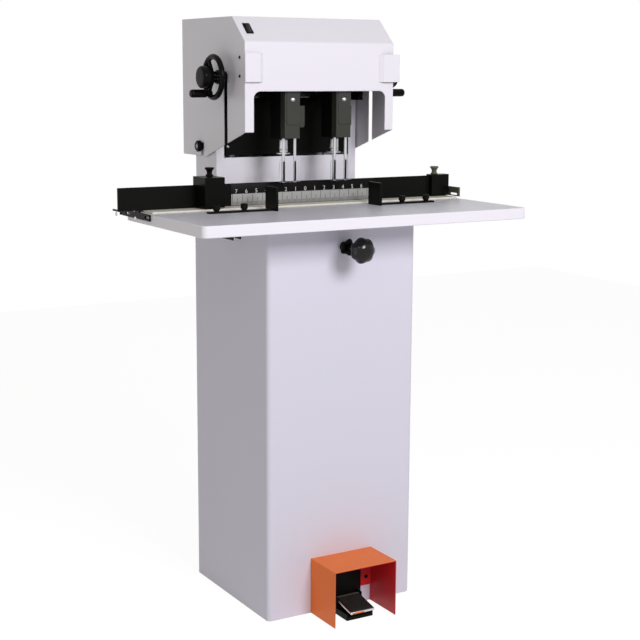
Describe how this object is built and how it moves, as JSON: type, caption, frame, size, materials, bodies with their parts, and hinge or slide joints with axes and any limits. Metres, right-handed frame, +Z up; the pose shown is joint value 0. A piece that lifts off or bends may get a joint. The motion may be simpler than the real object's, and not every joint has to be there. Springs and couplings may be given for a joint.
{
  "type": "paper drill",
  "caption": "Floor-standing paper drill: a pedestal with a table, a sheet-metal head cover, hollow bits in movable heads, a back gauge and a foot pedal.",
  "frame": {"origin": "centre of the pedestal's bottom face, on the floor", "axes": "+Z up, -Y towards the operator, +X to the operator's right"},
  "size_m": [0.866, 0.55, 1.338],
  "materials": {
    "white_paint": "smooth semi-gloss white enamel with a faint lavender tint",
    "table_laminate": "smooth pale laminate",
    "board_plastic": "cream plastic, lightly scored",
    "black_paint": "satin black",
    "grey_paint": "satin dark grey",
    "black_plastic": "moulded black",
    "dark_iron": "painted casting",
    "bright_steel": "ground and polished",
    "ruler_metal": "printed scale on satin aluminium",
    "clear_plastic": "clear sheet",
    "orange_paint": "semi-gloss orange-red enamel",
    "treadle_iron": "cast plate with a ribbed dark top"
  },
  "bodies": {
    "root": {"pedestal_cabinet": "white_paint", "rear_panel": "white_paint", "panel_screws": "bright_steel", "power_inlet": "black_plastic", "column_shell": "white_paint", "column_front_panel": "white_paint", "table_top": "table_laminate", "table_brackets": "black_paint", "drilling_board": "board_plastic", "head_cover": "white_paint", "corner_brackets": "white_paint", "cover_knobs": "black_plastic", "switch_frame": "black_plastic", "guide_posts": "bright_steel", "lift_cylinder": "dark_iron", "oil_tank": "dark_iron", "pump_motor": "dark_iron", "pressure_pipe": "bright_steel", "foot_guard": "orange_paint", "pedal_base": "black_paint", "stop_screws": "black_plastic", "treadle_spring": "bright_steel"},
    "rocker": {"power_rocker": "black_plastic"},
    "carriage": {"carriage": "black_paint", "slide_bars": "bright_steel", "cylinder_rod": "bright_steel"},
    "wheel_left": {"hand_wheel_left": "black_paint", "lead_screw_left": "bright_steel"},
    "wheel_right": {"hand_wheel_right": "black_paint", "lead_screw_right": "bright_steel"},
    "grip_left": {"crank_grip_left": "black_plastic"},
    "grip_right": {"crank_grip_right": "black_plastic"},
    "head_left": {"drill_head_left": "black_paint", "rod_block_left": "grey_paint", "block_button_left": "bright_steel", "spindle_motor_left": "dark_iron"},
    "head_right": {"drill_head_right": "black_paint", "rod_block_right": "grey_paint", "block_button_right": "bright_steel", "spindle_motor_right": "dark_iron"},
    "spindle_left": {"chuck_left": "bright_steel", "drill_bit_left": "bright_steel"},
    "spindle_right": {"chuck_right": "bright_steel", "drill_bit_right": "bright_steel"},
    "shield_left": {"shield_rods_left": "bright_steel", "clear_shield_left": "clear_plastic"},
    "shield_right": {"shield_rods_right": "bright_steel", "clear_shield_right": "clear_plastic"},
    "gauge": {"gauge_bar": "black_paint", "ruler_strip": "ruler_metal", "gauge_ends": "black_paint"},
    "clamp_left": {"bar_clamp_left": "black_plastic"},
    "clamp_right": {"bar_clamp_right": "black_plastic"},
    "screw_left": {"clamp_screw_left": "black_plastic"},
    "screw_right": {"clamp_screw_right": "black_plastic"},
    "stop_left": {"table_stop_left": "black_paint"},
    "stop_right": {"table_stop_right": "black_paint"},
    "stroke_knob": {"lobed_knob": "black_plastic"},
    "locking_knob": {"lock_knob": "black_plastic"},
    "pedal": {"treadle": "treadle_iron"}
  },
  "joints": [
    {"name": "head_feed", "type": "slide", "parent": "root", "child": "carriage", "axis": [0, 0, 1], "range_m": [-0.05, 0]},
    {"name": "wheel_left_turn", "type": "hinge", "parent": "carriage", "child": "wheel_left", "pos_m": [-0.221, 0.011, 1.207], "axis": [1, 0, 0], "range_deg": [-2640, 1560]},
    {"name": "wheel_right_turn", "type": "hinge", "parent": "carriage", "child": "wheel_right", "pos_m": [0.221, 0.011, 1.207], "axis": [1, 0, 0], "range_deg": [-1560, 2640]},
    {"name": "head_left_slide", "type": "slide", "parent": "carriage", "child": "head_left", "axis": [1, 0, 0], "range_m": [-0.0441, 0.0261]},
    {"name": "head_right_slide", "type": "slide", "parent": "carriage", "child": "head_right", "axis": [1, 0, 0], "range_m": [-0.0261, 0.0441]},
    {"name": "grip_left_turn", "type": "hinge", "parent": "wheel_left", "child": "grip_left", "pos_m": [-0.246, 0.03263, 1.171], "axis": [1, 0, 0], "continuous": true},
    {"name": "grip_right_turn", "type": "hinge", "parent": "wheel_right", "child": "grip_right", "pos_m": [0.246, -0.01187, 1.17178], "axis": [1, 0, 0], "continuous": true},
    {"name": "spindle_left_turn", "type": "hinge", "parent": "head_left", "child": "spindle_left", "pos_m": [-0.0665, -0.028, 1.07], "axis": [0, 0, 1], "continuous": true},
    {"name": "spindle_right_turn", "type": "hinge", "parent": "head_right", "child": "spindle_right", "pos_m": [0.0665, -0.028, 1.07], "axis": [0, 0, 1], "continuous": true},
    {"name": "shield_left_slide", "type": "slide", "parent": "head_left", "child": "shield_left", "axis": [0, 0, 1], "range_m": [0, 0.048]},
    {"name": "shield_right_slide", "type": "slide", "parent": "head_right", "child": "shield_right", "axis": [0, 0, 1], "range_m": [0, 0.048]},
    {"name": "gauge_slide", "type": "slide", "parent": "root", "child": "gauge", "axis": [0, 1, 0], "range_m": [-0.009, 0.008]},
    {"name": "clamp_left_slide", "type": "slide", "parent": "gauge", "child": "clamp_left", "axis": [1, 0, 0], "range_m": [-0.05, 0.03]},
    {"name": "clamp_right_slide", "type": "slide", "parent": "gauge", "child": "clamp_right", "axis": [1, 0, 0], "range_m": [-0.1, 0]},
    {"name": "screw_left_turn", "type": "hinge", "parent": "clamp_left", "child": "screw_left", "pos_m": [-0.242, -0.008, 0.992], "axis": [0, 0, 1], "range_deg": [0, 180]},
    {"name": "screw_right_turn", "type": "hinge", "parent": "clamp_right", "child": "screw_right", "pos_m": [0.364, -0.008, 0.976], "axis": [0, 0, 1], "range_deg": [0, 180]},
    {"name": "stop_left_slide", "type": "slide", "parent": "root", "child": "stop_left", "axis": [1, 0, 0], "range_m": [-0.014, 0.014]},
    {"name": "stop_right_slide", "type": "slide", "parent": "root", "child": "stop_right", "axis": [1, 0, 0], "range_m": [-0.014, 0.014]},
    {"name": "stroke_knob_turn", "type": "hinge", "parent": "root", "child": "stroke_knob", "pos_m": [0, -0.262, 0.84], "axis": [0, 1, 0], "continuous": true},
    {"name": "locking_knob_turn", "type": "hinge", "parent": "root", "child": "locking_knob", "pos_m": [0, -0.196, 0.84], "axis": [0, 1, 0], "range_deg": [0, 180]},
    {"name": "rocker_tilt", "type": "hinge", "parent": "root", "child": "rocker", "pos_m": [-0.168, -0.05105, 1.30958], "axis": [1, 0, 0], "range_deg": [-16, 0]},
    {"name": "treadle_press", "type": "hinge", "parent": "root", "child": "pedal", "pos_m": [0, -0.212, 0.033], "axis": [1, 0, 0], "range_deg": [0, 9], "stiffness_Nm_per_rad": 2, "springref_deg": -20.05, "deforming": ["treadle_spring"]}
  ],
  "couplings": [
    {"joint": "head_left_slide", "follows": "wheel_left_turn", "m_per_rad": 0.00095493},
    {"joint": "head_right_slide", "follows": "wheel_right_turn", "m_per_rad": 0.00095493}
  ]
}
